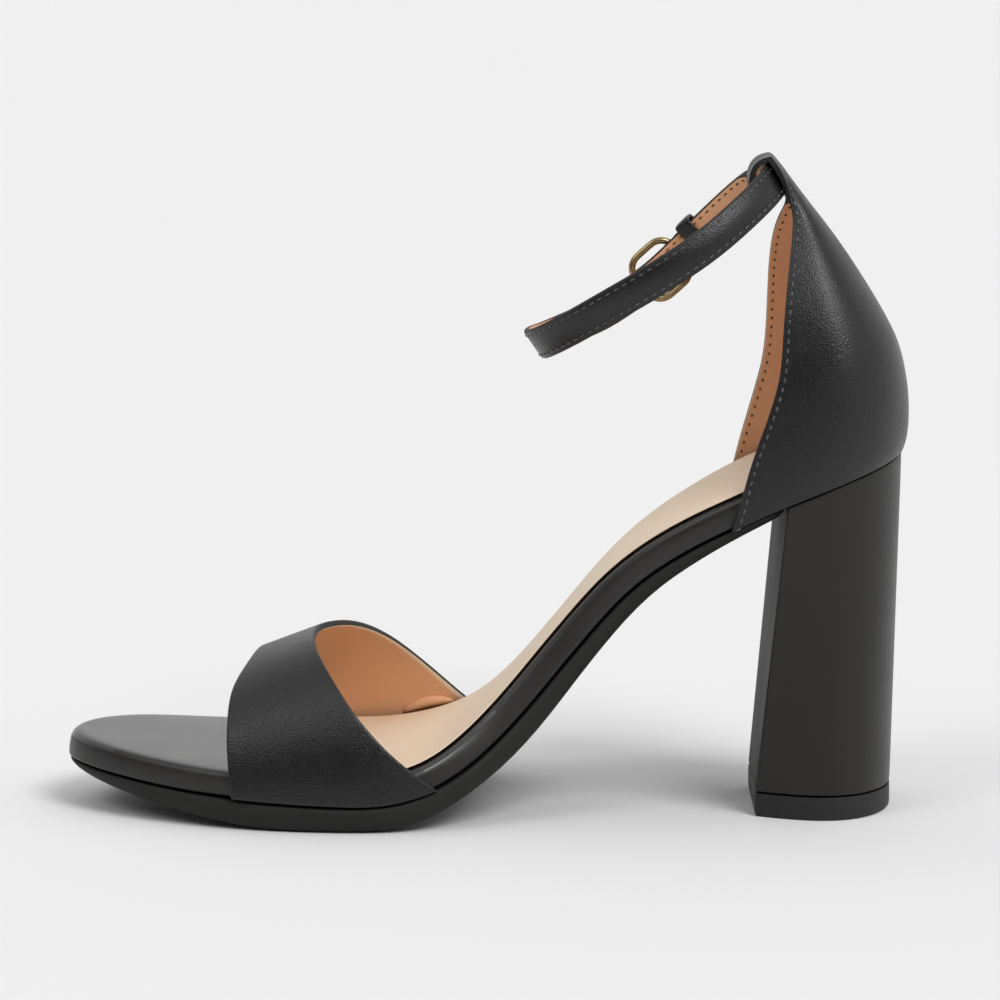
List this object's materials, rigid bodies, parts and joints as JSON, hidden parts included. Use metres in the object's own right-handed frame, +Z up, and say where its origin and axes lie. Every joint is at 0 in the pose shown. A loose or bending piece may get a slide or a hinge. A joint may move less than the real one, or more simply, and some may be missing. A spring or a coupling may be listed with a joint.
{
  "type": "high heel shoe",
  "caption": "Women's black block-heel sandal, right foot, with forefoot band, closed heel counter and buckled ankle strap.",
  "frame": {"origin": "middle of the flat underside of the heel tip, on the ground", "axes": "+X from toe to heel, +Y towards the outer side of the foot, +Z up"},
  "size_m": [0.2151, 0.0851, 0.1668],
  "materials": {
    "black_leather": "fine grain, satin",
    "footbed_black": "smooth satin",
    "sock_cream": "smooth matt",
    "heel_cover": "smooth satin",
    "outsole_rubber": "matt",
    "tip_rubber": "matt",
    "buckle_metal": "antique gold, polished"
  },
  "bodies": {
    "root": {"footbed": "footbed_black", "outsole": "outsole_rubber", "sock": "sock_cream", "vamp_strap": "black_leather", "heel_counter": "black_leather", "ankle_strap": "black_leather", "strap_keeper": "black_leather", "buckle_frame": "buckle_metal", "buckle_prong": "buckle_metal", "heel_block": "heel_cover", "heel_tip": "tip_rubber"}
  },
  "joints": []
}
